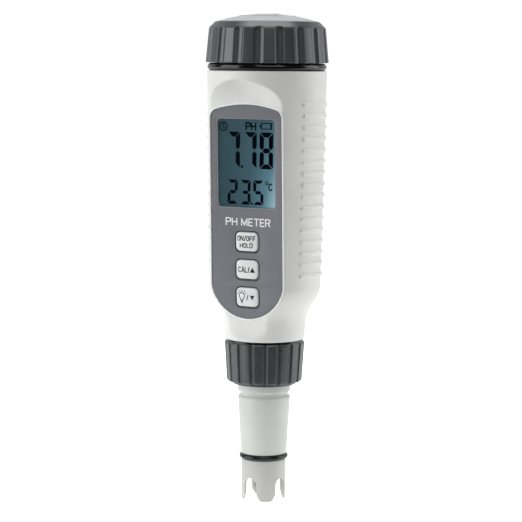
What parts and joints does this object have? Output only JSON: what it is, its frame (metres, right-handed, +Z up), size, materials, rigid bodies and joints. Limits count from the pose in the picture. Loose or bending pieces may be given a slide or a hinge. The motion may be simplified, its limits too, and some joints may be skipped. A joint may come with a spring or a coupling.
{
  "type": "pen ph meter",
  "caption": "Pocket pen pH meter: round tapered body with a flat display face and keys, fluted screw caps, and a plug-in glass electrode in a slotted guard.",
  "frame": {"origin": "centre of the plane through the guard tips, on the pen's axis", "axes": "+Z up the pen to the battery cap, -Y out of the display face, +X to the right of a reader"},
  "size_m": [0.04, 0.0398, 0.159],
  "materials": {
    "body_plastic": "smooth moulded, light satin gloss",
    "label": "fine matt printed film",
    "window": "clear, slightly smoky",
    "lcd": "backlit blue-green display",
    "rubber": "black, lightly greased sheen",
    "white_plastic": "moulded",
    "silicone": "soft silicone",
    "board": "solder mask",
    "black_plastic": "moulded",
    "steel": "plated",
    "cell": "wrapped steel can",
    "gold": "gold plated",
    "flat_cable": "polyimide film",
    "dark_plastic": "moulded, satin",
    "barrel_plastic": "smooth moulded",
    "guard_plastic": "moulded",
    "glass": "thin clear pH glass",
    "silver": "chlorided silver wire",
    "ceramic": "porous ceramic",
    "wire": "insulated wire",
    "potting": "cast resin",
    "key_plastic": "smooth moulded",
    "carbon": "conductive rubber"
  },
  "bodies": {
    "housing": {"housing": "body_plastic", "neck_ring": "body_plastic", "front_overlay": "label", "display_window": "window", "cap_oring": "rubber", "lcd_glass": "lcd", "lcd_backlight": "white_plastic", "lcd_frame": "white_plastic", "zebra_strips": "silicone", "main_pcb": "board", "pcb_parts": "black_plastic", "pcb_screws": "steel", "keypad_mat": "silicone", "battery_tray": "black_plastic", "battery_1": "cell", "battery_2": "cell", "battery_3": "cell", "battery_4": "cell", "lower_contacts": "gold", "lower_springs": "steel", "electrode_socket": "black_plastic", "socket_sleeves": "gold", "socket_gasket": "rubber", "socket_screws": "steel", "sensor_cable": "flat_cable"},
    "contact_plate": {"contact_plate": "board", "contact_strips": "gold", "contact_springs": "steel"},
    "battery_cap": {"battery_cap": "dark_plastic", "cap_dome": "dark_plastic", "plate_screw": "steel"},
    "electrode": {"electrode_barrel": "barrel_plastic", "sensor_guard": "guard_plastic", "lower_oring": "rubber", "stem_oring": "rubber", "glass_electrode": "glass", "silver_electrode": "silver", "reference_electrode": "silver", "ceramic_junction": "ceramic", "temperature_probe": "steel", "temperature_leads": "wire", "electrode_potting": "potting", "electrode_plug": "black_plastic", "plug_pins": "gold"},
    "collar_nut": {"collar_nut": "dark_plastic", "collar_washer": "white_plastic"},
    "key_power": {"key_power": "key_plastic", "key_power_pill": "carbon"},
    "key_cal": {"key_cal": "key_plastic", "key_cal_pill": "carbon"},
    "key_light": {"key_light": "key_plastic", "key_light_pill": "carbon"}
  },
  "joints": [
    {"name": "cap_lift", "type": "slide", "parent": "housing", "child": "contact_plate", "axis": [0, 0, 1], "range_m": [0, 0.0075]},
    {"name": "cap_turn", "type": "hinge", "parent": "contact_plate", "child": "battery_cap", "pos_m": [0, 0, 0.15], "axis": [0, 0, 1], "range_deg": [0, 900]},
    {"name": "electrode_draw", "type": "slide", "parent": "housing", "child": "electrode", "axis": [0, 0, -1], "range_m": [0, 0.0075]},
    {"name": "collar_turn", "type": "hinge", "parent": "electrode", "child": "collar_nut", "pos_m": [0, 0, 0.046], "axis": [0, 0, -1], "range_deg": [0, 1080]},
    {"name": "key_power_press", "type": "slide", "parent": "housing", "child": "key_power", "axis": [0, 0.9994, 0.0346], "range_m": [0, 0.0007], "stiffness_N_per_m": 2000, "springref_m": -0.0004},
    {"name": "key_cal_press", "type": "slide", "parent": "housing", "child": "key_cal", "axis": [0, 0.9994, 0.0346], "range_m": [0, 0.0007], "stiffness_N_per_m": 2000, "springref_m": -0.0004},
    {"name": "key_light_press", "type": "slide", "parent": "housing", "child": "key_light", "axis": [0, 0.9994, 0.0346], "range_m": [0, 0.0007], "stiffness_N_per_m": 2000, "springref_m": -0.0004}
  ],
  "couplings": [
    {"joint": "cap_turn", "follows": "cap_lift", "rad_per_m": 2094.4},
    {"joint": "collar_turn", "follows": "electrode_draw", "rad_per_m": 2513.3}
  ]
}
